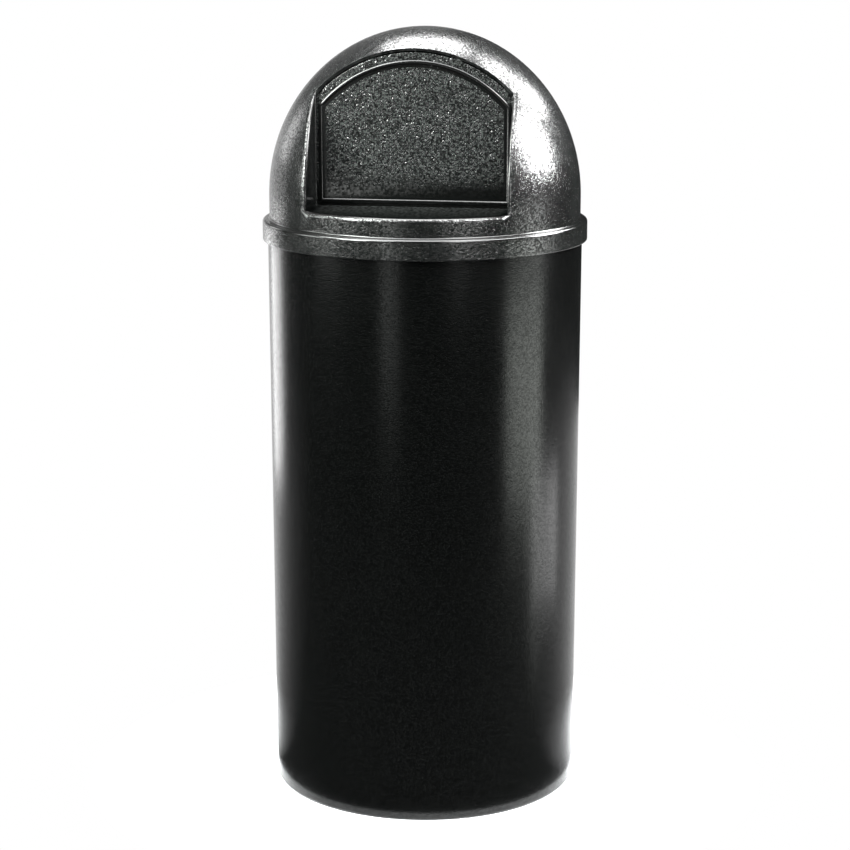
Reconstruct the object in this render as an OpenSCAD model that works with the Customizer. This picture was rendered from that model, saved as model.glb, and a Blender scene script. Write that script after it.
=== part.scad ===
// Dome-topped waste can with a spring-return push door in a recess of the dome.
// +Z is up, the door faces -Y, and the origin is the centre of the footprint on the ground.

/* [Can] */
// Outer diameter of the can at the ground
can_base_d = 371; // [320:1:400]
// Outer diameter of the can just under the skirt of the dome
can_top_d = 378; // [350:1:410]
// Height of the can from the ground to its rim
can_h = 695.5; // [400:0.5:900]
// Wall thickness of the can
can_wall = 3.6; // [3:0.1:5]
// Thickness of the floor of the can
floor_t = 4.5; // [3:0.1:8]
// Depth of the shallow hollow under the floor
foot_h = 7; // [4:0.5:15]
// Width of the flat ring that the can stands on
foot_w = 14; // [10:0.5:30]
// Radius of the bottom outer edge
base_round = 5; // [1:0.5:8]

/* [Rim and bag band] */
// Height of the stepped-in neck at the rim
neck_h = 16; // [12:0.5:30]
// How far the neck is set in from the wall below it
neck_step = 4; // [3:0.1:6]
// Height of the lip at the top of the neck
lip_h = 3; // [2:0.5:5]
// How far the lip stands out from the neck
lip_out = 2.6; // [1:0.1:3]
// Height of the elastic band that holds the bag
band_h = 9; // [5:0.5:11]
// Thickness of the elastic band
band_t = 2.8; // [1.5:0.1:3]

/* [Dome] */
// How far the side of the dome is set in from the can
dome_inset = 2; // [0:0.1:4]
// Straight height of the dome above its shoulder
dome_straight = 28.5; // [24:0.5:50]
// Rise of the rounded part of the dome
dome_rise = 199; // [190:1:240]
// Wall thickness of the dome
dome_wall = 3.6; // [3:0.1:4.5]
// Height of the skirt that hangs over the rim
skirt_h = 24.5; // [22:0.5:40]
// Wall thickness of the skirt
skirt_wall = 4; // [3:0.1:6]
// Space between skirt and can, for the folded bag
skirt_gap = 2.3; // [1.5:0.1:4]
// Thickness of the shoulder that sits on the rim
shoulder_t = 4; // [3:0.1:6]
// Radius of the outer edge of the shoulder
shoulder_round = 2.5; // [0.5:0.1:4]
// Depth of the ring that locates the dome inside the rim
plug_h = 10; // [6:0.5:20]
// Wall thickness of the locating ring
plug_t = 3; // [2:0.1:4]
// Space between locating ring and rim
plug_gap = 0.6; // [0.4:0.1:2]

/* [Door recess] */
// Clear width of the recess between its cheeks
recess_w = 232; // [210:1:244]
// Distance of the door opening in front of the axis of the can
door_set = 83; // [78:0.5:90]
// Height of the shelf above the shoulder of the dome
shelf_up = 23; // [16:0.5:28]
// Width of the flange that the door closes against
stop_w = 12; // [11:0.5:16]
// Diameter of the head of a rubber bumper
bumper_d = 8; // [6:0.5:9]
// Diameter of the stem of a rubber bumper
bumper_stem_d = 4.5; // [3:0.1:5]
// Height of the bumpers above the shelf
bumper_up = 14; // [8:1:60]

/* [Door] */
// Thickness of the door panel
door_t = 3.6; // [3:0.1:4.5]
// Gap between the face of the door and the stop flange
door_face_gap = 1.5; // [1:0.1:2.5]
// Gap between the arched edge of the door and the dome
door_edge_gap = 1.6; // [1.4:0.1:3]
// How far the door laps over the flange at its sides and bottom
door_lap = 6; // [4:0.5:8]
// Width of the raised bead on the door
bead_w = 5; // [3:0.1:7]
// Height of the raised bead
bead_h = 1.8; // [0.8:0.1:2.5]
// Distance of the bead from the cheeks
bead_side = 2.7; // [2:0.1:12]
// Distance of the bead from the arched edge of the opening
bead_top = 13.5; // [8:0.5:20]
// Distance of the bead from the shelf
bead_bottom = 14; // [6:0.5:30]
// Thickness of the stiffening ribs behind the door
rib_t = 3.2; // [2:0.1:5]
// Depth of the stiffening ribs
rib_deep = 7; // [4:0.5:9]
// Length of the ribs below the hinge axis
rib_len = 110; // [60:1:130]

/* [Hinge] */
// Diameter of the hinge rod
rod_d = 6; // [5:0.1:7]
// Height of the arched opening above the hinge axis
hinge_drop = 24; // [22:0.5:30]
// Distance of the hinge axis behind the face of the door
hinge_back = 13.5; // [13:0.1:16]
// Distance of the inner end of a knuckle from the middle
knuckle_x = 26; // [18:0.5:30]
// Length of a knuckle
knuckle_w = 12; // [8:0.5:14]
// Wall of the knuckle round its bush
knuckle_wall = 3; // [2:0.1:3.2]
// Wall thickness of a bush
bush_wall = 1.4; // [1:0.1:1.8]
// Thickness of the flange of a bush
bush_flange_t = 1.2; // [0.8:0.1:2]
// Thickness of the bracket plate
bracket_t = 3; // [2:0.1:3.5]
// Width of the leg that is screwed to the dome
bracket_leg = 14; // [13:0.5:18]
// Height of the top face of a bracket above the hinge axis
bracket_rise = 11; // [10.5:0.1:12]
// Radius of the ear of a bracket round the rod
ear_r = 7.5; // [6.5:0.1:8.5]
// Length of the rod that stands out of a bracket
rod_out = 5; // [4:0.5:7]
// Wall of the cap on the end of the rod
cap_wall = 2; // [1.2:0.1:3]
// Diameter of the shank of a bracket screw
screw_d = 4; // [3:0.1:4.5]
// Length of a bracket screw under its head
screw_len = 12; // [9:0.5:13]
// Distance between the two screws of a bracket
screw_pitch = 12; // [10:0.5:14]
// Diameter of the moulded boss that takes a screw
boss_d = 9; // [8:0.5:12]

/* [Springs] */
// Diameter of the spring wire
wire_d = 1.4; // [1:0.1:1.5]
// Radius of the coil at the middle of the wire
coil_r = 6; // [5.6:0.1:6.4]
// Whole turns of the coil, to which the legs add a quarter
coil_turns = 4; // [2:1:6]
// Distance from turn to turn
coil_pitch = 1.95; // [1.95:0.05:2.4]

/* [Hidden] */

// Clearance between a shaft or shank and the hole that holds it, on the radius
fit = 0.05;
// Clearance between parts that lie side by side
side_gap = 0.4;
// Extra length of a cutting shape past the face it cuts
over = 1;
// Straight pieces in a quarter of the outline of the dome
dome_steps = 24;
// Straight pieces along the arch of the door
arch_steps = 60;
// Straight pieces in a rounded edge of a turned outline
round_steps = 6;
$fn = 96;

// The can
base_r = can_base_d / 2;
top_r = can_top_d / 2;
step_z = can_h - neck_h;
neck_r = top_r - neck_step;
function can_r(z) = base_r + (top_r - base_r) * z / step_z;

// The dome
dome_r = top_r - dome_inset;
dome_in_r = dome_r - dome_wall;
rise_in = dome_rise - dome_wall;
skirt_in_r = top_r + skirt_gap;
skirt_r = skirt_in_r + skirt_wall;
plug_r = neck_r - can_wall - plug_gap;
shoulder_z = can_h + shoulder_t;
skirt_z = shoulder_z - skirt_h;
spring_z = shoulder_z + dome_straight;
top_z = spring_z + dome_rise;

// The recess
shelf_z = shoulder_z + shelf_up;
opening_r = recess_w / 2;
arch_z = spring_z + dome_rise * sqrt(1 - pow(door_set / dome_r, 2));

// The door: its face, its back and the hinge axis, as distances in front of the axis of the can
door_face = door_set - door_face_gap;
door_back = door_face - door_t;
door_r = opening_r + door_lap;
door_low = shelf_z - door_lap;
axis_y = -(door_face - hinge_back);
axis_z = arch_z - hinge_drop;

// The hinge along X, from the middle outwards
knuckle_end = knuckle_x + knuckle_w;
bush_in_r = rod_d / 2 + fit;
bush_r = bush_in_r + bush_wall;
bush_flange_out = 1.5;
bush_flange_r = bush_r + bush_flange_out;
knuckle_r = bush_r + fit + knuckle_wall;
spring_w = (coil_turns + 0.25) * coil_pitch + wire_d;
spring_x = knuckle_end + bush_flange_t + side_gap;
ear_x = spring_x + spring_w + side_gap;
rod_half = ear_x + bracket_t + rod_out;
leg_z = axis_z + bracket_rise;
leg_x = ear_x + bracket_t - bracket_leg / 2;
// The pan head of a screw, which tapers to its face
screw_head_out = 1.9;
screw_head_r = screw_d / 2 + screw_head_out;
screw_head_h = 2.4;
screw_head_taper = 0.8;
// The front screw stands behind the coil of the spring
screw_y = axis_y + coil_r + wire_d / 2 + side_gap + screw_head_r;
screw_ys = [screw_y, screw_y + screw_pitch];

// A quarter of an ellipse from its side to its top, as points of a turned outline
function quarter(r, h) = [for (i = [0:dome_steps])
    let (t = 90 * i / dome_steps)
    [r * cos(t), spring_z + h * sin(t)]];
// An arc of radius r about c, from angle a to angle b
function arc(c, r, a, b) = [for (i = [0:round_steps])
    let (t = a + (b - a) * i / round_steps)
    [c.x + r * cos(t), c.y + r * sin(t)]];
function reversed(list) = [for (i = [len(list) - 1:-1:0]) list[i]];

module can_body() {
    floor_top = foot_h + floor_t;
    outer = concat(
        [[0, foot_h], [base_r - foot_w, foot_h], [base_r - foot_w, 0]],
        arc([can_r(base_round) - base_round, base_round], base_round, -90, 0),
        [[top_r, step_z], [neck_r, step_z]],
        [[neck_r, can_h - lip_h], [neck_r + lip_out, can_h - lip_h], [neck_r + lip_out, can_h]]
    );
    slope_z = step_z - 2 * neck_step;
    inner = [
        [neck_r - can_wall, can_h],
        [neck_r - can_wall, step_z],
        [can_r(slope_z) - can_wall, slope_z],
        [can_r(floor_top) - can_wall, floor_top + can_wall],
        [can_r(floor_top) - 2 * can_wall, floor_top],
        [0, floor_top]
    ];
    color([0.10, 0.11, 0.11])
    rotate_extrude()
    polygon(concat(outer, inner));
}

// Elastic band in the channel of the neck
module bag_band() {
    channel_mid = (step_z + can_h - lip_h) / 2;
    color([0.16, 0.16, 0.17])
    rotate_extrude()
    translate([neck_r + fit, channel_mid - band_h / 2])
    square([band_t, band_h]);
}

// The dome filled solid from its shoulder up, to trim what joins its inside
module dome_mass() {
    rotate_extrude()
    polygon(concat([[0, shoulder_z], [dome_r, shoulder_z]], quarter(dome_r, dome_rise)));
}

module dome_shell() {
    edge = arc([skirt_r - shoulder_round, shoulder_z - shoulder_round], shoulder_round, 0, 90);
    outer = concat([[skirt_r, skirt_z]], edge, [[dome_r, shoulder_z]], quarter(dome_r, dome_rise));
    inner = concat(
        reversed(quarter(dome_in_r, rise_in)),
        [[dome_in_r, shoulder_z], [plug_r - plug_t, shoulder_z], [plug_r - plug_t, can_h - plug_h]],
        [[plug_r, can_h - plug_h], [plug_r, can_h], [skirt_in_r, can_h], [skirt_in_r, skirt_z]]
    );
    rotate_extrude()
    polygon(concat(outer, inner));
}

// A block in front of the door opening, wider and lower than the clear recess by the margin
module recess_block(margin, low, back) {
    half = opening_r + margin;
    translate([-half, -skirt_r - over, shelf_z - low])
    cube([2 * half, skirt_r + over - door_set + back, top_z - shelf_z + low + over]);
}

module stop_flange() {
    half = opening_r + stop_w;
    translate([-half, -door_set - dome_wall, shelf_z - stop_w])
    cube([2 * half, dome_wall, top_z - shelf_z + stop_w]);
}

module at_bumper(side) {
    translate([side * (opening_r + stop_w / 2), -door_set, shelf_z + bumper_up])
    rotate([90, 0, 0])
    children();
}

module dome_top() {
    color([0.11, 0.12, 0.12])
    difference() {
        union() {
            dome_shell();
            intersection() {
                dome_mass();
                union() {
                    recess_block(dome_wall, dome_wall, 0);
                    stop_flange();
                    for (side = [-1, 1], y = screw_ys)
                        translate([side * leg_x, y, leg_z])
                        cylinder(d = boss_d, h = top_z - leg_z);
                }
            }
        }
        recess_block(0, 0, 0);
        for (side = [-1, 1], y = screw_ys)
            translate([side * leg_x, y, leg_z - over])
            cylinder(r = screw_d / 2 + fit, h = screw_len - bracket_t + over + side_gap, $fn = 32);
        for (side = [-1, 1])
            at_bumper(side)
            translate([0, 0, -over])
            cylinder(r = bumper_stem_d / 2 + fit, h = dome_wall + 2 * over, $fn = 32);
    }
}

// Outline seen from the front: straight sides at half and a foot at low, under an arch.
// The arch lies inset inside the curve at which an ellipsoid of radius r and rise h is cut at distance d.
module arched(half, low, inset, r, h, d) {
    share = sqrt(1 - d * d / (r * r));
    a = r * share;
    b = h * share;
    arch = [for (i = [0:arch_steps])
        let (t = 180 * i / arch_steps, n = norm([b * cos(t), a * sin(t)]))
        [(a - inset * b / n) * cos(t), spring_z + (b - inset * a / n) * sin(t)]];
    intersection() {
        translate([-half, low])
        square([2 * half, top_z - low]);
        polygon(concat([[inset - a, low - over], [a - inset, low - over]], arch));
    }
}

module bead_outline(grow) {
    arched(opening_r - bead_side - bead_w / 2 + grow, shelf_z + bead_bottom + bead_w / 2 - grow,
        bead_top + bead_w / 2 - grow, dome_r, dome_rise, door_set);
}

module push_door() {
    color([0.13, 0.14, 0.14])
    difference() {
        union() {
            translate([0, -door_back, 0])
            rotate([90, 0, 0])
            linear_extrude(door_t)
            arched(door_r, door_low, door_edge_gap, dome_in_r, rise_in, door_face);
            translate([0, -door_face, 0])
            rotate([90, 0, 0])
            linear_extrude(bead_h)
            difference() {
                bead_outline(bead_w / 2);
                bead_outline(-bead_w / 2);
            }
            for (side = [-1, 1]) {
                translate([side * (knuckle_x + knuckle_w / 2), 0, 0])
                knuckle();
            }
        }
        translate([-knuckle_end - over, axis_y, axis_z])
        rotate([0, 90, 0])
        cylinder(r = bush_r + fit, h = 2 * (knuckle_end + over), $fn = 48);
    }
}

// Knuckle with its web to the panel and the rib that runs down from it
module knuckle() {
    translate([-knuckle_w / 2, axis_y, axis_z])
    rotate([0, 90, 0])
    cylinder(r = knuckle_r, h = knuckle_w, $fn = 48);
    translate([-knuckle_w / 2, -door_back, axis_z - knuckle_r])
    cube([knuckle_w, axis_y + door_back, 2 * knuckle_r]);
    translate([-rib_t / 2, -door_back, axis_z - rib_len])
    cube([rib_t, rib_deep, rib_len - knuckle_r]);
}

module hinge_rod() {
    color([0.62, 0.63, 0.64])
    translate([-rod_half, axis_y, axis_z])
    rotate([0, 90, 0])
    cylinder(d = rod_d, h = 2 * rod_half, $fn = 48);
}

// One L-shaped bracket: an ear round the rod and a leg under the bosses of the dome
module hinge_bracket(side) {
    leg_front = axis_y - ear_r;
    leg_back = screw_ys[1] + boss_d / 2;
    color([0.45, 0.46, 0.47])
    scale([side, 1, 1])
    difference() {
        union() {
            translate([leg_x - bracket_leg / 2, leg_front, leg_z - bracket_t])
            cube([bracket_leg, leg_back - leg_front, bracket_t]);
            translate([ear_x, axis_y - ear_r, axis_z])
            cube([bracket_t, 2 * ear_r, bracket_rise - bracket_t / 2]);
            translate([ear_x, axis_y, axis_z])
            rotate([0, 90, 0])
            cylinder(r = ear_r, h = bracket_t, $fn = 48);
        }
        translate([ear_x - over, axis_y, axis_z])
        rotate([0, 90, 0])
        cylinder(r = rod_d / 2 + fit, h = bracket_t + 2 * over, $fn = 48);
        for (y = screw_ys)
            translate([leg_x, y, leg_z - bracket_t - over])
            cylinder(r = screw_d / 2 + 2 * fit, h = bracket_t + 2 * over, $fn = 32);
    }
}

// Pan-head screw with a cross recess, its head under the leg of the bracket
module screw() {
    slot_w = screw_d / 4;
    slot_len = 1.2 * screw_head_r;
    difference() {
        union() {
            translate([0, 0, -screw_head_h])
            cylinder(r1 = screw_head_r - screw_head_taper, r2 = screw_head_r, h = screw_head_h, $fn = 32);
            cylinder(d = screw_d, h = screw_len, $fn = 32);
        }
        for (turn = [0, 90])
            rotate(turn)
            translate([-slot_len / 2, -slot_w / 2, -screw_head_h - over])
            cube([slot_len, slot_w, over + screw_head_h / 2]);
    }
}

module bracket_screws() {
    color([0.66, 0.67, 0.68])
    for (side = [-1, 1], y = screw_ys)
        translate([side * leg_x, y, leg_z - bracket_t])
        screw();
}

// Cap pressed on the end of the rod
module rod_cap(side) {
    color([0.20, 0.20, 0.21])
    translate([side * (ear_x + bracket_t + fit), axis_y, axis_z])
    rotate([0, side * 90, 0])
    difference() {
        cylinder(r = rod_d / 2 + cap_wall, h = rod_out + cap_wall, $fn = 48);
        translate([0, 0, -over])
        cylinder(r = rod_d / 2 + fit, h = rod_out + over, $fn = 48);
    }
}

// Flanged bush in a knuckle, its flange on the side of the spring
module hinge_bush(side) {
    color([0.88, 0.87, 0.83])
    translate([side * knuckle_x, axis_y, axis_z])
    rotate([0, side * 90, 0])
    difference() {
        union() {
            cylinder(r = bush_r, h = knuckle_w + fit, $fn = 48);
            translate([0, 0, knuckle_w + fit])
            cylinder(r = bush_flange_r, h = bush_flange_t, $fn = 48);
        }
        translate([0, 0, -over])
        cylinder(r = bush_in_r, h = knuckle_w + bush_flange_t + 2 * over + fit, $fn = 48);
    }
}

// Middle line of the right spring, from the leg behind the door to the leg under the bracket
coil_rings = 8;
spring_start = [spring_x + wire_d / 2, axis_y, axis_z];
coil_last = coil_rings * coil_turns + coil_rings / 4;
function coil_point(i) = spring_start + [
    coil_pitch * i / coil_rings,
    coil_r * cos(360 * i / coil_rings - 90),
    coil_r * sin(360 * i / coil_rings - 90)
];
door_leg = hinge_back - door_t;
top_leg = bracket_rise - bracket_t;
spring_path = concat(
    [spring_start + [0, -door_leg, -coil_r], spring_start + [0, -wire_d, -coil_r]],
    [for (i = [0:coil_last]) coil_point(i)],
    [coil_point(coil_last) + [0, 0, wire_d], coil_point(coil_last) + [0, 0, top_leg]]
);

function unit(v) = v / norm(v);
function along(path, i) = unit(path[min(i + 1, len(path) - 1)] - path[max(i - 1, 0)]);
// A ring of the tube round point i: t is the way along, and u and v are square to it
function ring(path, i, r, sides) =
    let (t = along(path, i), u = unit(cross(t, [1, 0, 0])), v = cross(t, u))
    [for (k = [0:sides - 1]) path[i] + r * (cos(360 * k / sides) * u + sin(360 * k / sides) * v)];

module tube(path, r, sides) {
    rings = len(path);
    points = [for (i = [0:rings - 1]) each ring(path, i, r, sides)];
    wall_faces = [for (i = [0:rings - 2], k = [0:sides - 1])
        let (a = i * sides + k, b = i * sides + (k + 1) % sides)
        each [[a, b, a + sides], [b, b + sides, a + sides]]];
    last = (rings - 1) * sides;
    end_faces = [for (k = [1:sides - 2]) each [[0, k + 1, k], [last, last + k, last + k + 1]]];
    polyhedron(points, concat(wall_faces, end_faces));
}

module door_spring(side) {
    color([0.70, 0.71, 0.72])
    scale([side, 1, 1])
    tube(spring_path, wire_d / 2, 6);
}

// Least gap between turns of a spring, measured between points at least half a turn apart
coil_points = [for (i = [0:0.5:coil_last]) coil_point(i)];
echo(least_spring_gap = min([
    for (i = [0:len(coil_points) - 1], j = [i + coil_rings:1:len(coil_points) - 1])
        norm(coil_points[i] - coil_points[j])
]) - wire_d);

// Rubber button in the stop flange, for the door to close against
module door_bumper(side) {
    color([0.09, 0.09, 0.09])
    at_bumper(side) {
        translate([0, 0, -door_face_gap + side_gap / 2])
        cylinder(d = bumper_d, h = door_face_gap - side_gap / 2, $fn = 32);
        cylinder(d = bumper_stem_d, h = dome_wall, $fn = 32);
    }
}

can_body();
bag_band();
dome_top();
push_door();
hinge_rod();
hinge_bracket(-1);  // hinge_bracket_left
hinge_bracket(1);  // hinge_bracket_right
bracket_screws();
rod_cap(-1);  // rod_cap_left
rod_cap(1);  // rod_cap_right
hinge_bush(-1);  // hinge_bush_left
hinge_bush(1);  // hinge_bush_right
door_spring(-1);  // door_spring_left
door_spring(1);  // door_spring_right
door_bumper(-1);  // door_bumper_left
door_bumper(1);  // door_bumper_right
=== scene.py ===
import math

import bmesh
import bpy
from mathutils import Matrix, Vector


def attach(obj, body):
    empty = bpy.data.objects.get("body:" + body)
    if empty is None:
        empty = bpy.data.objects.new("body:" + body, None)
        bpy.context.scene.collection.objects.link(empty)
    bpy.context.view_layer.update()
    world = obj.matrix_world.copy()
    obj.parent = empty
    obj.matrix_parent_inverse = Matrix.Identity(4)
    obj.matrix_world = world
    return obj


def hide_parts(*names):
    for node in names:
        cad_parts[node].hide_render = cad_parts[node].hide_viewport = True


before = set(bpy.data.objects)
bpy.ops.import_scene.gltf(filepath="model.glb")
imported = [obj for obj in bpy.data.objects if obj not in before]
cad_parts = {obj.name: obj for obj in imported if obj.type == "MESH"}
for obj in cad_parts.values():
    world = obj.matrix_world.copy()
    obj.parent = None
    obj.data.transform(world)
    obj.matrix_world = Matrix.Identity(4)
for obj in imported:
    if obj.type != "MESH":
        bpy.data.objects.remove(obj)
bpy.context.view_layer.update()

# Sizes of the can. All sizes are in metres, and the main ones are those of the part's source
WALL = 0.0036
BASE_R = 0.1855
MIDDLE_R = BASE_R + 0.0018
MIDDLE_Z = 0.34
TOP_R = 0.189
STEP_Z = 0.6795
STEP_FALL = 0.008
NECK_R = 0.185
RIM_Z = 0.6955
RIM_OUT = 0.0026
RIM_TALL = 0.003
FOOT_W = 0.014
HOLLOW_Z = 0.007
FLOOR_Z = 0.0115
FLOOR_RISE = 0.004

# Sizes of the dome
DOME_R = 0.187
DOME_RISE = 0.199
SKIRT_R = 0.1953
SKIRT_Z = 0.675
SHOULDER_Z = 0.6995
SPRING_Z = 0.728
SHELF_Z = 0.7225
OPENING = 0.116
DOOR_SET = 0.083

# The flange that the door stops against, with the slope of its top edge
STOP_W = 0.012
STOP_LEAN = 0.15

# Outline of the ring under the shoulder that centres the dome on the can
LOCATING_RING = (
    (0.1778, 0.6855),
    (0.1808, 0.6855),
    (0.1808, 0.6960),
    (0.1850, 0.6960),
    (0.1850, 0.6992),
    (0.1778, 0.6992),
)

# The bosses for the bracket screws, from the bracket's foot up
BOSS_X = 0.04569
BOSS_YS = (-0.057, -0.045)
BOSS_R = 0.0045
BOSS_Z = 0.893324

# The ridge up a cheek: radius, depth in the cheek, and how it passes the shelf and stops at the tip
RIDGE_R = 0.0013
RIDGE_SUNK = 0.0002
RIDGE_Y = -0.0857
RIDGE_UNDER = 0.001
RIDGE_SHORT = 0.004

# The tip of a cheek, where the cheek, the door's plane and the dome meet
TIP_R = math.hypot(OPENING, DOOR_SET)
TIP_LIFT = math.acos(TIP_R / DOME_R)
TIP_Z = SPRING_Z + DOME_RISE * math.sin(TIP_LIFT)
TIP_TURN = math.atan2(OPENING, DOOR_SET)
LIP_TURN = math.asin(OPENING / DOME_R)

# The door's panel, how far it reaches past the opening, and its gap to the inside of the dome
FACE_Y = -0.0815
BACK_Y = -0.0779
PANEL_PAST = 0.006
PANEL_GAP = 0.0016

# The bead on the door, and how far its outer edge lies in from the foot, the sides and the arch
BEAD_R = 0.0033
BEAD_FOOT = 0.003
BEAD_SIDE = 0.0027
BEAD_ARCH = 0.0135

# The bead's section: steepest angle and step in degrees, small crease, smooth margin and least width
BEAD_STEEP = 48
BEAD_TURN = 12
BEAD_CREASE = 0.0006
BEAD_MARGIN = 0.0035
HAIR = 0.0001

# The hinge line, and the knuckles and ribs on it, with how deep they are sunk in the panel
AXIS_Y = -0.068
AXIS_Z = 0.882324
BORE_R = 0.0045
BORE_GAP = 0.0002
KNUCKLE_R = 0.0075
KNUCKLE_NEAR = 0.026
KNUCKLE_FAR = 0.038
RIB_HALF = 0.0016
RIB_DEEP = 0.007
RIB_DROP = 0.110
SUNK = 0.0004
RIB_SUNK = 0.0005

# Roundings, each a width and a number of segments
FOOT_ROUND = (0.005, 5)
STEP_ROUND = (0.0012, 3)
RIM_ROUND = (0.0009, 2)
CHEEK_ROUND = (0.008, 7)
LIP_ROUND = (0.005, 6)
SHOULDER_ROUND = (0.0032, 6)
CREASE_ROUND = (0.0018, 4)
SKIRT_ROUND = (0.0012, 3)
RIDGE_ROUND = (0.0011, 4)
PANEL_ROUND = (0.0008, 2)
KNUCKLE_ROUND = (0.0004, 2)
RIB_ROUND = (0.0005, 2)

# Columns and rows of the patches, and steps of the turned shapes
TURNED_STEPS = 144
SIDE_ROWS = 18
TOP_ROWS = 18
FRONT_COLUMNS = 20
BACK_COLUMNS = 56
FIRST_COLUMN = math.radians(3.5)
LOW_ROWS = 0.06
ARCH_STEPS = 128
KNUCKLE_STEPS = 48
BOSS_STEPS = 32
RIDGE_STEPS = 24

# How near points have to be to weld, to touch, to lie on a ring and to lie in a plane
WELD = 2e-6
TOUCH = 1e-5
RING_NEAR = 2e-4
IN_PLANE = 1e-6

# The angle from which an edge is shown sharp
SHARP_ANGLE = math.radians(40)

# Where the dome is grained: how near its skin or skirt, and how far from the shoulder's edge
SKIN_NEAR = 0.006
SKIRT_NEAR = 4e-4
GRAIN_OVER = 0.0015
GRAIN_UNDER = 0.004
SHELF_NEAR = 1e-4
LEVEL = 0.99

# Places in a piece's list of materials
GRAINED = 0
SMOOTH = 1
ON_SHELF = 2


# Mesh helpers


def patch(bm, across, up, place):
    """A grid whose corners place(u, v) puts on a surface, with u and v from 0 to 1."""
    for v in bmesh.ops.create_grid(bm, x_segments=across, y_segments=up, size=0.5)["verts"]:
        v.co = place(v.co.x + 0.5, v.co.y + 0.5)


def joined(bm, spots, closed=False):
    """Corners at the spots, with an edge from each to the next."""
    corners = [bm.verts.new(spot) for spot in spots]
    following = corners[1:] + corners[:1] if closed else corners[1:]
    return corners + [bm.edges.new(pair) for pair in zip(corners, following)]


def turned(bm, outline, steps):
    """An outline of (radius, height) corners turned about Z. It is closed unless it ends on the axis."""
    bmesh.ops.spin(
        bm,
        geom=joined(bm, [(r, 0, z) for r, z in outline], closed=outline[-1][0] != 0),
        cent=(0, 0, 0),
        axis=(0, 0, 1),
        angle=2 * math.pi,
        steps=steps,
        use_merge=True,
    )


def rod(bm, steps, radius, depth):
    """The corners of a closed upright rod, with its middle at the origin."""
    made = bmesh.ops.create_cone(
        bm, cap_ends=True, segments=steps, radius1=radius, radius2=radius, depth=depth
    )
    return made["verts"]


def rounded(bm, edges, rounding):
    """Rounds the edges, with the rounding's width and segments."""
    width, segments = rounding
    bmesh.ops.bevel(
        bm,
        geom=edges,
        offset=width,
        offset_type="OFFSET",
        segments=segments,
        profile=0.5,
        affect="EDGES",
        material=-1,
    )


def on_ring(edge, radius, height):
    """True for an edge of the circle with that radius and height about Z."""
    return all(
        abs(math.hypot(v.co.x, v.co.y) - radius) < RING_NEAR and abs(v.co.z - height) < RING_NEAR
        for v in edge.verts
    )


def rings(bm, *circles):
    """The edges that lie on any of the circles, each a radius and a height about Z."""
    return [e for e in bm.edges if any(on_ring(e, *circle) for circle in circles)]


def cleaned(bm):
    """Welds corners at the same spot and turns every face outwards."""
    bmesh.ops.remove_doubles(bm, verts=bm.verts, dist=WELD)
    bmesh.ops.recalc_face_normals(bm, faces=bm.faces)


def once(parts):
    """The parts in their order, each a single time."""
    return list(dict.fromkeys(parts))


def block(bm, low, high, rounding):
    """A block from corner to corner, with its edges rounded."""
    low, high = Vector(low), Vector(high)
    size = high - low
    made = bmesh.ops.create_cube(bm, size=1)["verts"]
    for v in made:
        v.co = (low + high) / 2 + Vector(a * b for a, b in zip(v.co, size))
    rounded(bm, once(e for v in made for e in v.link_edges), rounding)


def placed(name, data):
    """An object in the scene that shows the data."""
    obj = bpy.data.objects.new(name, data)
    bpy.context.collection.objects.link(obj)
    return obj


def as_object(name, mesh_name, bm):
    """An object in the scene with the mesh."""
    mesh = bpy.data.meshes.new(mesh_name)
    bm.to_mesh(mesh)
    bm.free()
    return placed(name, mesh)


def piece(name, bm, body, materials):
    """A piece of the part, with smooth faces but for edges sharper than the sharp angle."""
    for face in bm.faces:
        face.smooth = True
    for edge in bm.edges:
        edge.smooth = len(edge.link_faces) == 2 and edge.calc_face_angle(0) < SHARP_ANGLE
    raw = as_object(name + "_raw", name, bm)
    raw.modifiers.new("even", "WEIGHTED_NORMAL").keep_sharp = True
    bpy.context.view_layer.update()
    graph = bpy.context.evaluated_depsgraph_get()
    final = bpy.data.meshes.new_from_object(
        raw.evaluated_get(graph), preserve_all_data_layers=True, depsgraph=graph
    )
    final.name = name
    mesh = raw.data
    bpy.data.objects.remove(raw)
    bpy.data.meshes.remove(mesh)
    obj = placed(name, final)
    for material in materials:
        obj.data.materials.append(material)
    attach(obj, body)
    return obj


# Shader helpers

WHOLE = (0.0, 1.0)


def feed(tree, node, values):
    """Sets a node's input sockets to values, or links them to other nodes' outputs."""
    for name, value in values.items():
        if isinstance(value, bpy.types.NodeSocket):
            tree.links.new(value, node.inputs[name])
        else:
            node.inputs[name].default_value = value


def add(tree, kind, values, **settings):
    """A node with its settings and its inputs."""
    made = tree.nodes.new(kind)
    for name, value in settings.items():
        setattr(made, name, value)
    feed(tree, made, values)
    return made


def noise(tree, place, scale, detail=2.0, rough=0.5):
    """A cloudy value from 0 to 1."""
    values = {"Vector": place, "Scale": scale, "Detail": detail, "Roughness": rough}
    return add(tree, "ShaderNodeTexNoise", values).outputs["Fac"]


def mapped(tree, value, given, wanted):
    """A value from one range put into another, and kept within it."""
    values = {0: value, 1: given[0], 2: given[1], 3: wanted[0], 4: wanted[1]}
    return add(tree, "ShaderNodeMapRange", values).outputs[0]


def maths(tree, operation, first, second=0.0):
    """The result of one step of arithmetic."""
    return add(tree, "ShaderNodeMath", {0: first, 1: second}, operation=operation).outputs[0]


def times(tree, first, second):
    """One value times another."""
    return maths(tree, "MULTIPLY", first, second)


def blended(tree, share, first, second):
    """A colour between two colours, by a share from 0 to 1."""
    return add(tree, "ShaderNodeMix", {0: share, 6: first, 7: second}, data_type="RGBA").outputs[2]


def solid(tone):
    """A tone as an opaque colour."""
    return (*tone, 1)


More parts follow.
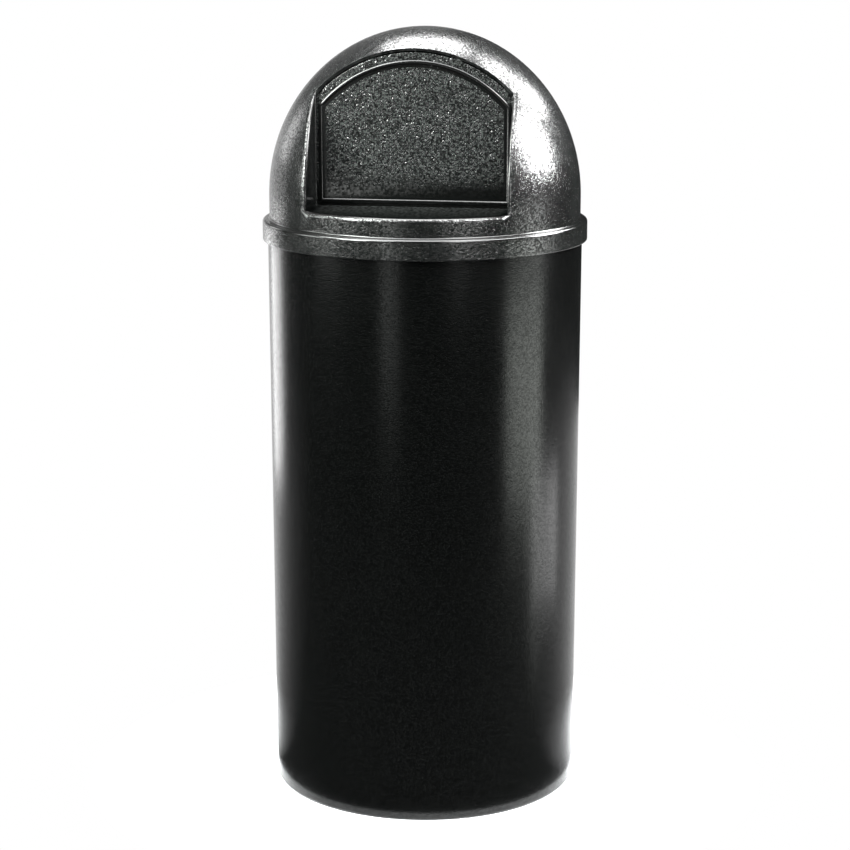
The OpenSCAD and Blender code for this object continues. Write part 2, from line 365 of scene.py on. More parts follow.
def bumped(tree, height, depth, strength):
    """A normal for the bumps of a height."""
    values = {"Height": height, "Distance": depth, "Strength": strength}
    return add(tree, "ShaderNodeBump", values).outputs[0]


def new_material(name):
    """A material with its node tree, its shader and the place on the object."""
    made = bpy.data.materials.new(name)
    made.use_nodes = True
    tree = made.node_tree
    shader = tree.nodes["Principled BSDF"]
    place = add(tree, "ShaderNodeTexCoord", {}).outputs["Object"]
    return made, tree, shader, place


def emptied(owner):
    """The node tree of a material or world, with nothing in it."""
    owner.use_nodes = True
    owner.node_tree.nodes.clear()
    return owner.node_tree


# Materials

# Scuffed edges
EDGE_SHARPNESS = (0.53, 0.62)
EDGE_WEAR = 0.35
SCUFF_SCALE = 260
SCUFF_RANGE = (0.4, 0.65)
SCUFF_TONE = (0.06, 0.064, 0.062)
SCUFF_ROUGH = 0.2

# Grains of the moulded plastic. Chance sets the steepness, the tip's tone (a painted glint) and the
# shine of each
GRAIN_STEEP = (0.2, 1.7)
TIP_SPREAD = (0.35, 0.02)
TIP_CHANCE = (0.85, 0.25)
TIP_GLINT_TONES = (0.1, 1.6)
SHINE_CHANCE = (0.15, 0.85)
FINE_SCALE = 1.6
FINE_SHARE = 0.45
FINE_ROUGH = 0.05
CLOUD_SCALE = 14
GLOSS_SWING = 0.02

# Metal, rubber and nylon
DRAWN = (60, 900, 900)
PATCH_SCALE = 180
DULL = 0.72
BLOOM_SCALE = 60
BLOOM = (0.0, 0.6)
PALE_GAIN = 1.35
PALE_LIFT = 0.01

# The ranges in which nearly all of a noise lies, and its upper part
NOISE_RANGE = (0.3, 0.7)
UPPER_RANGE = (0.35, 0.7)


def worn_edges(tree, place):
    """Share of scuffed edge, from the mesh's own sharpness and a noise."""
    shape = add(tree, "ShaderNodeNewGeometry", {}).outputs["Pointiness"]
    edge = mapped(tree, shape, EDGE_SHARPNESS, (0.0, EDGE_WEAR))
    patches = noise(tree, place, SCUFF_SCALE, 4)
    return times(tree, edge, mapped(tree, patches, SCUFF_RANGE, WHOLE))


def moulded_plastic(name, dark, light, gloss, pebble, slope, specular, fade=None, uneven=0.0):
    """Moulded polyethylene: round grains as wide as a pebble, tilted by the slope at their edges.

    The base is dark and the tips of the grains are painted lighter, as painted glints. Gloss is the
    roughness.
    Uneven is how much the shine of one grain differs from the next.
    Where the two heights of fade are given, the grain and its painted glints fade out between them
    towards the bottom: a painted shade that leaves the foot darker.
    """
    made, tree, shader, place = new_material(name)
    cells = add(tree, "ShaderNodeTexVoronoi", {"Vector": place, "Scale": 1 / pebble}).outputs
    lots = add(tree, "ShaderNodeSeparateColor", {0: cells["Color"]}).outputs
    hollow = times(tree, cells["Distance"], cells["Distance"])
    steep = times(tree, hollow, mapped(tree, lots[0], WHOLE, GRAIN_STEEP))
    fine = noise(tree, place, FINE_SCALE / pebble, 2, 0.6)
    height = maths(tree, "SUBTRACT", times(tree, fine, FINE_SHARE), steep)
    # Painted glints: the tip of each grain gets a lighter colour in place of the light it would catch
    tip = mapped(tree, hollow, TIP_SPREAD, WHOLE)
    tip = times(tree, tip, mapped(tree, lots[0], TIP_CHANCE, TIP_GLINT_TONES))
    # Painted shade: below the fade heights the grain and its glints are taken away, so the foot is
    # darker, as if shaded by the shelf
    if fade:
        up = add(tree, "ShaderNodeSeparateXYZ", {0: place}).outputs["Z"]
        unshaded = mapped(tree, up, fade, WHOLE)
        height = times(tree, height, unshaded)
        tip = times(tree, tip, unshaded)
    cloudy = noise(tree, place, CLOUD_SCALE, 3)
    scuff = worn_edges(tree, place)
    tone = blended(tree, tip, solid(dark), solid(light))
    rough = mapped(tree, cloudy, NOISE_RANGE, (gloss - GLOSS_SWING, gloss + GLOSS_SWING))
    rough = maths(tree, "ADD", rough, times(tree, fine, FINE_ROUGH))
    shine = specular
    if uneven:
        low, high = specular * (1 - uneven), specular * (1 + uneven)
        shine = mapped(tree, lots[1], SHINE_CHANCE, (low, high))
    feed(
        tree,
        shader,
        {
            "Base Color": blended(tree, scuff, tone, solid(SCUFF_TONE)),
            "Roughness": maths(tree, "ADD", rough, times(tree, scuff, SCUFF_ROUGH)),
            "Normal": bumped(tree, height, slope * pebble, 1.0),
            "Specular IOR Level": shine,
        },
    )
    return made


def metal(name, tone, rough, scratch):
    """Plated or bare steel with fine drawn scratches and dull patches."""
    made, tree, shader, place = new_material(name)
    stretched = add(tree, "ShaderNodeMapping", {"Vector": place, "Scale": DRAWN}).outputs[0]
    lines = noise(tree, stretched, 1.0, 3)
    patches = noise(tree, place, PATCH_SCALE, 3)
    dull = tuple(DULL * c for c in tone)
    share = mapped(tree, patches, UPPER_RANGE, WHOLE)
    feed(
        tree,
        shader,
        {
            "Base Color": blended(tree, share, solid(tone), solid(dull)),
            "Roughness": mapped(tree, patches, NOISE_RANGE, (rough - 0.06, rough + 0.1)),
            "Normal": bumped(tree, lines, scratch, 0.6),
            "Metallic": 1.0,
        },
    )
    return made


def soft_matt(name, tone, rough, grain, depth):
    """Rubber or nylon: matt, with a fine grain and a slight bloom."""
    made, tree, shader, place = new_material(name)
    fine = noise(tree, place, 1 / grain, 4, 0.6)
    bloom = noise(tree, place, BLOOM_SCALE, 3)
    pale = tuple(min(1.0, PALE_GAIN * c + PALE_LIFT) for c in tone)
    share = mapped(tree, bloom, UPPER_RANGE, BLOOM)
    feed(
        tree,
        shader,
        {
            "Base Color": blended(tree, share, solid(tone), solid(pale)),
            "Roughness": mapped(tree, fine, NOISE_RANGE, (rough - 0.06, rough + 0.06)),
            "Normal": bumped(tree, fine, depth, 0.7),
        },
    )
    return made


PITCH = (0.0005, 0.0006, 0.00055)
JET = (0.0012, 0.0014, 0.0013)
DUSK = (0.0016, 0.0018, 0.0017)
INK = (0.002, 0.0022, 0.0021)
# The tip tones are painted glints, lighter colour on the grains' tips
DOME_GLINT_TIPS = (0.0045, 0.005, 0.0048)
DOOR_GLINT_TIPS = (0.026, 0.0286, 0.027)
# Heights between which the door's grain fades out downwards: painted shade at the door's foot
DOOR_SHADE_HEIGHTS = (0.742, 0.772)

CAN = moulded_plastic("can_plastic", PITCH, INK, 0.165, 0.0018, 0.03, 0.16, uneven=0.3)
DOME = moulded_plastic("dome_plastic", JET, DOME_GLINT_TIPS, 0.20, 0.0020, 0.055, 0.5, uneven=0.72)
DOME_SMOOTH = moulded_plastic("dome_plastic_smooth", JET, INK, 0.14, 0.0020, 0.02, 0.5)
# Painted shade: a darker copy of the dome's plastic with no shine, so the floor of the recess stays
# black as if in shade
SHELF = moulded_plastic("shelf_plastic_painted_shade", PITCH, DUSK, 0.5, 0.0020, 0.05, 0.0)
DOOR = moulded_plastic("door_plastic", JET, DOOR_GLINT_TIPS, 0.15, 0.0022, 0.17, 0.5, DOOR_SHADE_HEIGHTS, 0.75)
DOOR_SMOOTH = moulded_plastic("door_plastic_smooth", JET, INK, 0.14, 0.0020, 0.02, 0.5)
BAND = soft_matt("band_rubber", (0.006, 0.006, 0.0065), 0.75, 0.0006, 0.00004)
BUMPER = soft_matt("bumper_rubber", (0.012, 0.012, 0.012), 0.7, 0.0005, 0.00003)
CAP = soft_matt("cap_plastic", (0.025, 0.025, 0.027), 0.5, 0.0005, 0.00002)
BUSH = soft_matt("bush_nylon", (0.70, 0.68, 0.62), 0.45, 0.0005, 0.00002)
ROD = metal("rod_steel", (0.60, 0.61, 0.62), 0.28, 0.00001)
BRACKET = metal("bracket_steel", (0.52, 0.54, 0.55), 0.42, 0.00002)
SCREW = metal("screw_steel", (0.62, 0.62, 0.60), 0.35, 0.00001)
SPRING = metal("spring_steel", (0.55, 0.55, 0.56), 0.30, 0.00001)

NODE_MATERIALS = {
    "bag_band": BAND,
    "hinge_rod": ROD,
    "hinge_bracket_left": BRACKET,
    "hinge_bracket_right": BRACKET,
    "bracket_screws": SCREW,
    "rod_cap_left": CAP,
    "rod_cap_right": CAP,
    "hinge_bush_left": BUSH,
    "hinge_bush_right": BUSH,
    "door_spring_left": SPRING,
    "door_spring_right": SPRING,
    "door_bumper_left": BUMPER,
    "door_bumper_right": BUMPER,
}


# The can


def make_can():
    """The can as one turned wall: floor, foot ring, side, stepped neck and rim."""
    foot_r = BASE_R - FOOT_W
    rim_r = NECK_R + RIM_OUT
    mouth_r = NECK_R - WALL
    outline = [
        (0, HOLLOW_Z),
        (foot_r, HOLLOW_Z),
        (foot_r, 0),
        (BASE_R, 0),
        (MIDDLE_R, MIDDLE_Z),
        (TOP_R, STEP_Z),
        (NECK_R, STEP_Z),
        (NECK_R, RIM_Z - RIM_TALL),
        (rim_r, RIM_Z - RIM_TALL),
        (rim_r, RIM_Z),
        (mouth_r, RIM_Z),
        (mouth_r, STEP_Z),
        (TOP_R - WALL, STEP_Z - STEP_FALL),
        (BASE_R - WALL, FLOOR_Z + FLOOR_RISE),
        (BASE_R - 2 * WALL, FLOOR_Z),
        (0, FLOOR_Z),
    ]
    bm = bmesh.new()
    turned(bm, outline, TURNED_STEPS)
    cleaned(bm)
    rounded(bm, rings(bm, (BASE_R, 0)), FOOT_ROUND)
    rounded(bm, rings(bm, (TOP_R, STEP_Z), (foot_r, 0)), STEP_ROUND)
    rounded(bm, rings(bm, (rim_r, RIM_Z), (mouth_r, RIM_Z)), RIM_ROUND)
    return bm


# The dome


def dome_radius(z):
    """Radius of the dome's skin at a height."""
    share = max(0.0, min(1.0, (z - SPRING_Z) / DOME_RISE))
    return DOME_R * math.sqrt(1 - share * share)


def around(turn, radius, z):
    """A point at an angle from the front, by its radius and height."""
    return Vector((radius * math.sin(turn), -radius * math.cos(turn), z))


def on_dome(turn, lift):
    """A point of the dome's skin at an angle from the front and an angle upwards."""
    return around(turn, DOME_R * math.cos(lift), SPRING_Z + DOME_RISE * math.sin(lift))


def spread(u, start):
    """Angle of column u from the start to the back, the first column a little wider."""
    if u <= 0:
        return start
    step = 1 / BACK_COLUMNS
    return start + FIRST_COLUMN + (math.pi - start - FIRST_COLUMN) * (u - step) / (1 - step)


def edge_turn(z):
    """The angle from the front at which the dome's skin meets the cheek, or its line upwards."""
    if z >= TIP_Z:
        return TIP_TURN
    return math.asin(OPENING / dome_radius(z))


def side_place(u, v):
    """From the cheek to the back of the dome and from the shelf to the tip of the cheek."""
    low = max(0.0, v * (1 + LOW_ROWS) - LOW_ROWS)
    z = SHELF_Z + (SPRING_Z - SHELF_Z) * min(1.0, v / LOW_ROWS)
    if low > 0:
        z = SPRING_Z + DOME_RISE * math.sin(TIP_LIFT * low)
    return around(spread(u, edge_turn(z)), dome_radius(z), z)


def above_place(u, v):
    """From the line over the tip of the cheek to the back, up to the top of the dome."""
    return on_dome(spread(u, TIP_TURN), TIP_LIFT + (math.pi / 2 - TIP_LIFT) * v)


def brow_place(u, v):
    """From the front to the line over the tip, and from the arched edge to the top of the dome."""
    turn = TIP_TURN * u
    start = math.acos(DOOR_SET / math.cos(turn) / DOME_R)
    return on_dome(turn, start + (math.pi / 2 - start) * v)


def wall_band(bm, low, high):
    """A band of wall between two rings, each a radius and a height, in front and behind."""
    def at(turn, v):
        """A point of the band at an angle from the front."""
        return around(turn, low[0] + (high[0] - low[0]) * v, low[1] + (high[1] - low[1]) * v)

    patch(bm, FRONT_COLUMNS, 1, lambda u, v: at(LIP_TURN * u, v))
    patch(bm, BACK_COLUMNS, 1, lambda u, v: at(spread(u, LIP_TURN), v))


def cheek_place(u, v):
    """From the dome's skin back to the door, and from the shelf to the tip of the cheek."""
    edge = side_place(0, v)
    return Vector((OPENING, edge.y + (-DOOR_SET - edge.y) * u, edge.z))


def shelf_place(u, v):
    """From the middle to the cheek, and from the lip back to the door."""
    edge = around(LIP_TURN * u, DOME_R, SHELF_Z)
    return Vector((edge.x, edge.y + (-DOOR_SET - edge.y) * v, SHELF_Z))


def stop_side_place(u, v):
    """The stop flange beside the door, out from the cheek and up to its tip."""
    z = side_place(0, v).z
    return Vector((OPENING + STOP_W * u, -DOOR_SET, z - (z - SHELF_Z) * STOP_LEAN * u))


def stop_foot_place(u, v):
    """The stop flange below the door, from the middle to the cheek and down from the shelf."""
    return Vector((shelf_place(u, 1).x, -DOOR_SET, SHELF_Z - STOP_W * v))


def stop_corner_place(u, v):
    """The stop flange's corner, out from the cheek and down from the shelf."""
    return Vector((OPENING + STOP_W * u, -DOOR_SET, SHELF_Z - STOP_W * v))


def half_dome(bm):
    """The outer face of the dome on the side of +X, with its half of the recess."""
    walls = ((SKIRT_R, SKIRT_Z), (SKIRT_R, SHOULDER_Z), (DOME_R, SHOULDER_Z), (DOME_R, SHELF_Z))
    for low, high in zip(walls, walls[1:]):
        wall_band(bm, low, high)
    patch(bm, BACK_COLUMNS, SIDE_ROWS, side_place)
    patch(bm, BACK_COLUMNS, TOP_ROWS, above_place)
    patch(bm, FRONT_COLUMNS, TOP_ROWS, brow_place)
    patch(bm, 1, SIDE_ROWS, cheek_place)
    patch(bm, FRONT_COLUMNS, 1, shelf_place)
    patch(bm, 1, SIDE_ROWS, stop_side_place)
    patch(bm, FRONT_COLUMNS, 1, stop_foot_place)
    patch(bm, 1, 1, stop_corner_place)


def on_skin(v):
    """True for a corner on the dome's outer skin."""
    return abs(math.hypot(v.co.x, v.co.y) - dome_radius(v.co.z)) < TOUCH


def on_cheek_edge(edge):
    """True for an edge where a cheek meets the dome's skin, short of the cheek's tip."""
    a, b = edge.verts
    return abs(a.co.z - b.co.z) > TOUCH and all(
        abs(abs(v.co.x) - OPENING) < TOUCH
        and v.co.y < -DOOR_SET - CHEEK_ROUND[0]
        and v.co.z > SHELF_Z - TOUCH
        and on_skin(v)
        for v in edge.verts
    )


def on_lip(edge):
    """True for an edge where the shelf meets the dome's skin."""
    return all(
        abs(v.co.z - SHELF_Z) < TOUCH and abs(v.co.x) < OPENING + TOUCH and on_skin(v)
        for v in edge.verts
    )


def screw_boss(bm, x, y):
    """A round boss from the foot of the hinge bracket up into the wall of the dome."""
    for v in rod(bm, BOSS_STEPS, BOSS_R, 0.02):
        top = v.co.z > 0
        v.co.x += x
        v.co.y += y
        share = math.hypot(v.co.x, v.co.y) / (DOME_R - WALL / 2)
        inside_wall = SPRING_Z + (DOME_RISE - WALL / 2) * math.sqrt(1 - share * share)
        v.co.z = inside_wall if top else BOSS_Z


def cheek_ridge(bm, side):
    """The low round ridge up the back of a cheek, just before the door."""
    low, high = SHELF_Z - RIDGE_UNDER, TIP_Z - RIDGE_SHORT
    made = rod(bm, RIDGE_STEPS, RIDGE_R, high - low)
    middle = (side * (OPENING + RIDGE_SUNK), RIDGE_Y, (low + high) / 2)
    bmesh.ops.translate(bm, verts=made, vec=middle)
    edges = once(e for v in made for e in v.link_edges)
    rounded(bm, [e for e in edges if all(v.co.z > high - TOUCH for v in e.verts)], RIDGE_ROUND)


def dome_finish(face):
    """Which of the dome's materials a face has."""
    middle = face.calc_center_median()
    out = math.hypot(middle.x, middle.y)
    up = max(0.0, middle.z - SPRING_Z)
    near_skin = abs(math.hypot(out / DOME_R, up / DOME_RISE) - 1) < SKIN_NEAR
    near_skirt = abs(out - SKIRT_R) < SKIRT_NEAR
    level = abs(middle.z - SHELF_Z) < SHELF_NEAR and abs(face.normal.z) > LEVEL
    if near_skin and middle.z > SHOULDER_Z + GRAIN_OVER:
        return GRAINED
    if near_skirt and middle.z < SHOULDER_Z - GRAIN_UNDER:
        return GRAINED
    # The level faces of the shelf take the painted-shade copy of the plastic
    if level and middle.y < -DOOR_SET:
        return ON_SHELF
    return SMOOTH


def make_dome():
    """The dome with its skirt, recess, stop flange, locating ring, screw bosses and cheek ridges."""
    bm = bmesh.new()
    half_dome(bm)
    bmesh.ops.remove_doubles(bm, verts=bm.verts, dist=WELD)
    bmesh.ops.mirror(bm, geom=bm.verts[:] + bm.edges[:] + bm.faces[:], axis="X", merge_dist=WELD)
    cleaned(bm)
    top = max(bm.faces, key=lambda f: f.calc_center_median().z)
    if top.normal.z < 0:
        bmesh.ops.reverse_faces(bm, faces=bm.faces)
    bmesh.ops.solidify(bm, geom=bm.faces[:], thickness=WALL)
    rounded(bm, [e for e in bm.edges if on_cheek_edge(e)], CHEEK_ROUND)
    rounded(bm, [e for e in bm.edges if on_lip(e)], LIP_ROUND)
    rounded(bm, rings(bm, (SKIRT_R, SHOULDER_Z)), SHOULDER_ROUND)
    rounded(bm, rings(bm, (DOME_R, SHOULDER_Z)), CREASE_ROUND)
    rounded(bm, rings(bm, (SKIRT_R, SKIRT_Z)), SKIRT_ROUND)
    turned(bm, LOCATING_RING, TURNED_STEPS)
    for x in (-BOSS_X, BOSS_X):
        for y in BOSS_YS:
            screw_boss(bm, x, y)
    for side in (-1, 1):
        cheek_ridge(bm, side)
    bmesh.ops.recalc_face_normals(bm, faces=bm.faces)
    for face in bm.faces:
        face.material_index = dome_finish(face)
    return bm


# The door


def in_face(part):
    """True for an edge or a face that lies in the front plane of the door."""
    return all(abs(v.co.y - FACE_Y) < IN_PLANE for v in part.verts)


def arched(bm, half, low, inset, radius, rise, distance):
    """A flat face in the front plane of the door: straight sides and foot under an arch.

    The arch is where a dome of that radius and rise is cut at a distance from the axis, less the inset.
    """
    share = math.sqrt(1 - (distance / radius) ** 2)
    wide = radius * share - inset
    tall = rise * share - inset
    made = bmesh.ops.create_circle(bm, cap_ends=True, segments=ARCH_STEPS, radius=1)["verts"]
    for v in made:
        v.co = Vector((wide * v.co.x, FACE_Y, SPRING_Z + tall * v.co.y))
    edges = [e for v in made for e in v.link_edges]
    faces = [f for v in made for f in v.link_faces]
    geom = once(made + edges + faces)
    sides = (((half, 0, 0), (1, 0, 0)), ((-half, 0, 0), (-1, 0, 0)), ((0, 0, low), (0, 0, -1)))
    for spot, outwards in sides:
        cut = bmesh.ops.bisect_plane(
            bm, geom=geom, dist=IN_PLANE, plane_co=spot, plane_no=outwards, clear_outer=True
        )
        geom = once(g for g in cut["geom"] + cut["geom_cut"] if g.is_valid)
    return next(g for g in geom if isinstance(g, bmesh.types.BMFace))


def bead_steps():
    """Width and lift of each step across the bead, and then the smooth margin inside it."""
    yield HAIR, BEAD_CREASE
    turns = [math.radians(a) for a in range(-BEAD_STEEP, BEAD_STEEP + 1, BEAD_TURN)]
    for a, b in zip(turns, turns[1:]):
        yield BEAD_R * (math.sin(b) - math.sin(a)), BEAD_R * (math.cos(b) - math.cos(a))
    yield HAIR, -BEAD_CREASE
    yield BEAD_MARGIN, 0.0


def hinge_knuckle(bm, low_x, high_x):
    """A knuckle on the hinge line, with its web to the panel and the rib below it."""
    section = ((low_x, BORE_R), (high_x, BORE_R), (high_x, KNUCKLE_R), (low_x, KNUCKLE_R))
    bmesh.ops.spin(
        bm,
        geom=joined(bm, [(x, AXIS_Y, AXIS_Z + r) for x, r in section], closed=True),
        cent=(0, AXIS_Y, AXIS_Z),
        axis=(1, 0, 0),
        angle=2 * math.pi,
        steps=KNUCKLE_STEPS,
        use_merge=True,
    )
    block(
        bm,
        (low_x, BACK_Y - SUNK, AXIS_Z - KNUCKLE_R),
        (high_x, AXIS_Y - BORE_R - BORE_GAP, AXIS_Z + KNUCKLE_R),
        KNUCKLE_ROUND,
    )
    middle = (low_x + high_x) / 2
    block(
        bm,
        (middle - RIB_HALF, BACK_Y - SUNK, AXIS_Z - RIB_DROP),
        (middle + RIB_HALF, BACK_Y + RIB_DEEP, AXIS_Z - KNUCKLE_R + RIB_SUNK),
        RIB_ROUND,
    )


def make_door():
    """The door panel with the bead on its front, and its two knuckles and ribs behind."""
    bm = bmesh.new()
    panel = arched(
        bm,
        OPENING + PANEL_PAST,
        SHELF_Z - PANEL_PAST,
        PANEL_GAP,
        DOME_R - WALL,
        DOME_RISE - WALL,
        -FACE_Y,
    )
    back = bmesh.ops.extrude_face_region(bm, geom=[panel])
    moved = [g for g in back["geom"] if isinstance(g, bmesh.types.BMVert)]
    bmesh.ops.translate(bm, verts=moved, vec=(0, BACK_Y - FACE_Y, 0))
    rounded(bm, [e for e in bm.edges if in_face(e)], PANEL_ROUND)
    faces = [f for f in bm.faces if in_face(f)]
    ring = [e for f in faces for e in f.edges]
    bmesh.ops.delete(bm, geom=faces, context="FACES_ONLY")
    bead = arched(
        bm, OPENING - BEAD_SIDE, SHELF_Z + BEAD_FOOT, BEAD_ARCH, DOME_R, DOME_RISE, DOOR_SET
    )
    ring += list(bead.edges)
    bmesh.ops.triangle_fill(bm, use_beauty=True, edges=ring, normal=(0, -1, 0))
    for step, lift in bead_steps():
        made = bmesh.ops.inset_region(bm, faces=[bead], thickness=step, use_even_offset=True)
        for face in made["faces"]:
            face.material_index = SMOOTH
        bmesh.ops.translate(bm, verts=bead.verts[:], vec=(0, -lift, 0))
    cleaned(bm)
    hinge_knuckle(bm, -KNUCKLE_FAR, -KNUCKLE_NEAR)
    hinge_knuckle(bm, KNUCKLE_NEAR, KNUCKLE_FAR)
    bmesh.ops.recalc_face_normals(bm, faces=bm.faces)
    return bm


can = piece("can_shell", make_can(), "can", [CAN])
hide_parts("can_body")
dome = piece("dome_shell", make_dome(), "dome", [DOME, DOME_SMOOTH, SHELF])
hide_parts("dome_top")
door = piece("door_panel", make_door(), "door", [DOOR, DOOR_SMOOTH])
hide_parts("push_door")

for node, material in NODE_MATERIALS.items():
    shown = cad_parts[node]
    for place in shown.material_slots:
        place.material = material


# Floor and backdrop

FLOOR_R = 0.6
FLOOR_STEPS = 96
FLOOR_FADE = (0.20, 0.42)
FLOOR_TONE = (0.85, 0.86, 0.87)
FLOOR_GLOW = 0.30
ROOM_TONE = (0.93, 0.97, 1.0)
ROOM_GLOW = 0.35
CLOTH_TONE = (0.02, 0.02, 0.02)
CARD_GLOW = 0.25
WHITE = (1, 1, 1)
ROOM_R = 4.5
ROOM_TOP = 5.0
SCREEN_STEPS = 48

# Degrees to either side of the front between which the cloth on the ground thins out
GROUND_FADE = (82, 130)


def background_rays(tree):
    """1 for the rays that show the white background: camera, glossy and transmission rays."""
    path = add(tree, "ShaderNodeLightPath", {}).outputs
    both = maths(tree, "MAXIMUM", path["Is Camera Ray"], path["Is Glossy Ray"])
    return maths(tree, "MAXIMUM", both, path["Is Transmission Ray"])


def make_floor():
    """Pale round floor that turns into the white background away from the object."""
    bm = bmesh.new()
    bmesh.ops.create_circle(bm, cap_ends=True, segments=FLOOR_STEPS, radius=FLOOR_R)
    obj = as_object("floor", "floor", bm)
    made = bpy.data.materials.new("pale_floor")
    tree = emptied(made)
    place = add(tree, "ShaderNodeTexCoord", {}).outputs["Object"]
    away = add(tree, "ShaderNodeVectorMath", {0: place}, operation="LENGTH").outputs["Value"]
    seen = background_rays(tree)
    card = add(tree, "ShaderNodeBsdfDiffuse", {"Color": solid(FLOOR_TONE)})
    glow = add(tree, "ShaderNodeEmission", {"Strength": times(tree, seen, FLOOR_GLOW)})
    lit = add(tree, "ShaderNodeAddShader", {0: card.outputs[0], 1: glow.outputs[0]})
    white = add(tree, "ShaderNodeEmission", {"Strength": 1.0})
    share = times(tree, mapped(tree, away, FLOOR_FADE, WHOLE), seen)
    mixed = add(tree, "ShaderNodeMixShader", {0: share, 1: lit.outputs[0], 2: white.outputs[0]})
    add(tree, "ShaderNodeOutputMaterial", {"Surface": mixed.outputs[0]})
    obj.data.materials.append(made)


def make_world():
    """A dim cool room that camera, glossy and transmission rays see as plain white."""
    world = bpy.data.worlds.new("studio")
    bpy.context.scene.world = world
    tree = emptied(world)
    room = add(tree, "ShaderNodeBackground", {"Color": solid(ROOM_TONE), "Strength": ROOM_GLOW})
    white = add(tree, "ShaderNodeBackground", {"Color": solid(WHITE), "Strength": 1.0})
    seen = background_rays(tree)
    mixed = add(tree, "ShaderNodeMixShader", {0: seen, 1: room.outputs[0], 2: white.outputs[0]})
    add(tree, "ShaderNodeOutputWorld", {"Surface": mixed.outputs[0]})


def dark_cloth(name, fade=None):
    """Black cloth. It thins out between the two angles of fade, to either side of the front."""
    made, tree, shader, place = new_material(name)
    feed(tree, shader, {"Base Color": solid(CLOTH_TONE), "Roughness": 1.0, "Specular IOR Level": 0.0})
    if fade:
        spot = add(tree, "ShaderNodeSeparateXYZ", {0: place}).outputs
        turn = maths(tree, "ARCTAN2", spot["X"], times(tree, spot["Y"], -1.0))
        side = maths(tree, "ABSOLUTE", turn)
        thinned = mapped(tree, side, [math.radians(angle) for angle in fade], (1.0, 0.0))
        feed(tree, shader, {"Alpha": thinned})
    return made


def grey_card():
    """A card that glows a little, for what the far left of the object mirrors."""
    made, tree, shader, _ = new_material("grey_card")
    feed(
        tree,
        shader,
        {
            "Base Color": solid(CLOTH_TONE),
            "Specular IOR Level": 0.0,
            "Emission Color": solid(WHITE),
            "Emission Strength": CARD_GLOW,
        },
    )
    return made


def screen(name, outline, start, sweep, material):
    """A sheet turned about the object, from an angle and on by another. Only mirrors see it."""
    bm = bmesh.new()
    bmesh.ops.spin(
        bm,
        geom=joined(bm, [around(math.radians(start), r, z) for r, z in outline]),
        cent=(0, 0, 0),
        axis=(0, 0, 1),
        angle=math.radians(sweep),
        steps=SCREEN_STEPS,
    )
    obj = as_object(name, name, bm)
    obj.data.materials.append(material)
    obj.visible_camera = False
    obj.visible_diffuse = False
    obj.visible_shadow = False


make_floor()
make_world()
cloth = dark_cloth("dark_cloth")
ground_cloth = dark_cloth("ground_cloth", GROUND_FADE)
screen("dark_room", ((ROOM_R, -0.5), (ROOM_R, ROOM_TOP)), -113, 298, cloth)
screen("dark_ground", ((0.20, 0.004), (ROOM_R, 0.004)), -142, 284, ground_cloth)
screen("grey_room", ((4.4, 1.25), (4.4, ROOM_TOP)), -176, 64, grey_card())


# Lamps

# Watts of a square metre at a glow of 1
WATTS = 4
COOL = (0.97, 1.0, 0.97)
GREEN = (0.95, 1.0, 0.94)

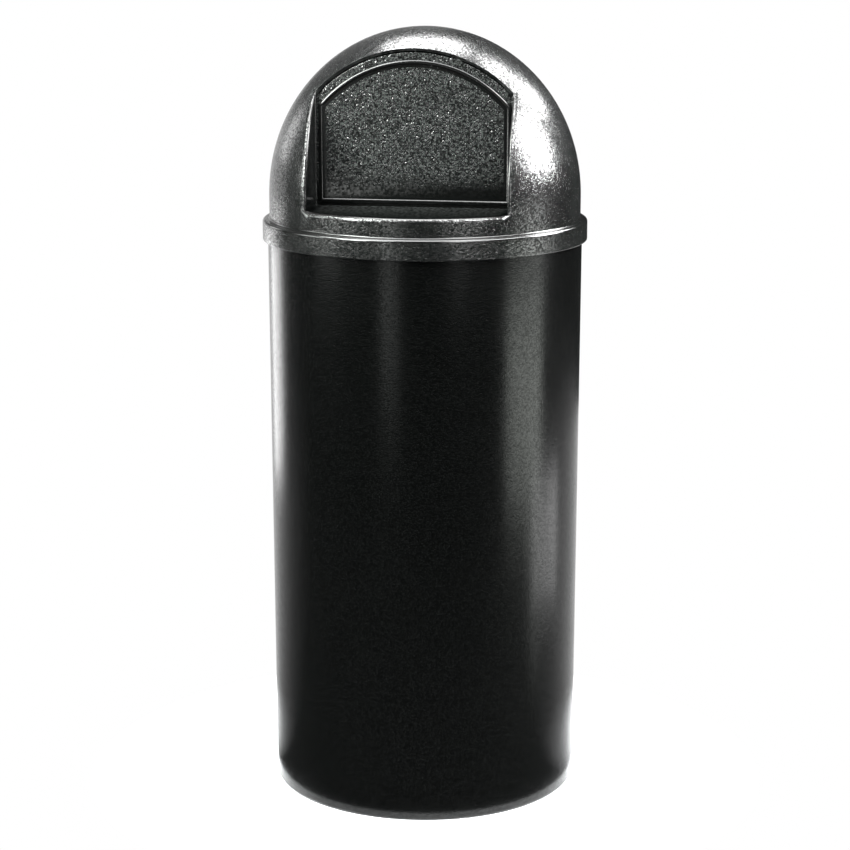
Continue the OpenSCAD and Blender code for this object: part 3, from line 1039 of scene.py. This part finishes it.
# Name, angle from the front towards +X, distance from the axis, height above the ground, height
# looked at, width and tallness of the soft box, glow and tone
LAMPS = (
    ("key_right", 103, 2.0, 1.52, 0.8, 0.95, 1.0, 42, WHITE),
    ("key_middle", 134, 1.9, 1.88, 0.85, 0.6, 0.65, 26, WHITE),
    ("key_high", 140, 1.6, 2.42, 0.88, 0.6, 0.5, 20, WHITE),
    ("top_back", -172, 1.1, 2.42, 0.9, 1.1, 0.5, 20, WHITE),
    ("overhead", 0, 0.35, 2.6, 0.85, 2.0, 1.6, 13, WHITE),
    ("strip_right", 83, 1.6, -0.05, -0.05, 0.9, 0.9, 5.5, GREEN),
    ("strip_low", 102, 0.9, 0.12, 0.12, 0.45, 0.2, 3.6, WHITE),
    ("skirt_right", 92, 1.7, 0.52, 0.6, 0.8, 0.18, 2.6, WHITE),
    ("low_front", -16, 2.0, 0.34, 0.34, 0.42, 0.4, 2.2, COOL),
    ("low_left", -62, 1.8, 0.52, 0.6, 0.6, 0.16, 3, COOL),
    ("low_right", 31, 1.8, 0.48, 0.6, 0.25, 0.1, 2.5, COOL),
    ("line_left", -42, 1.8, 0.78, 0.8, 0.6, 0.14, 13, COOL),
    ("line_right", 38, 1.8, 0.78, 0.8, 0.9, 0.14, 12, WHITE),
    ("panel_left", -48, 1.7, 2.2, 0.75, 2.0, 0.5, 30, COOL),
    ("panel_right", 58, 1.7, 2.2, 0.75, 2.0, 0.5, 28, WHITE),
    ("front_left", -42, 1.3, 1.22, 0.82, 0.45, 0.4, 48, COOL),
    ("front_right", 30, 2.0, 1.3, 0.8, 0.4, 0.5, 6, COOL),
    ("side_left", -75, 2.0, 1.05, 0.8, 0.8, 0.6, 10, COOL),
    ("back_left", -122, 1.9, 1.15, 0.8, 0.5, 0.5, 2.8, WHITE),
    ("rim_left", -128, 1.9, 0.18, 0.25, 0.75, 0.48, 3.4, WHITE),
)


def lamp(name, turn, distance, height, aim, width, tall, glow, tone):
    """A soft box around the object that looks at its axis, and that the camera doesn't see."""
    light = bpy.data.lights.new(name, "AREA")
    light.shape = "RECTANGLE"
    light.size = width
    light.size_y = tall
    light.energy = glow * WATTS * width * tall
    light.color = tone
    obj = placed(name, light)
    obj.location = around(math.radians(turn), distance, height)
    look = Vector((0, 0, aim)) - obj.location
    obj.rotation_euler = look.to_track_quat("-Z", "Y").to_euler()
    obj.visible_camera = False


for row in LAMPS:
    lamp(*row)


# Camera

CAMERA_TURN = math.radians(8.784)
CAMERA_AWAY = 2.9
CAMERA_Z = 1.0936
CAMERA_DIP = 0.2208
SENSOR = 36
PICTURE_PIXELS = 850
FOCAL_PIXELS = 2420.65


def make_camera():
    """The camera, with the lens and the place that put the object where the photo has it."""
    data = bpy.data.cameras.new("camera")
    data.lens = SENSOR * FOCAL_PIXELS / PICTURE_PIXELS
    data.sensor_width = SENSOR
    obj = placed("camera", data)
    obj.location = around(CAMERA_TURN, CAMERA_AWAY, CAMERA_Z)
    obj.rotation_euler = (math.pi / 2 - CAMERA_DIP, 0, CAMERA_TURN)
    bpy.context.scene.camera = obj


make_camera()
bpy.context.scene.view_settings.view_transform = "Standard"
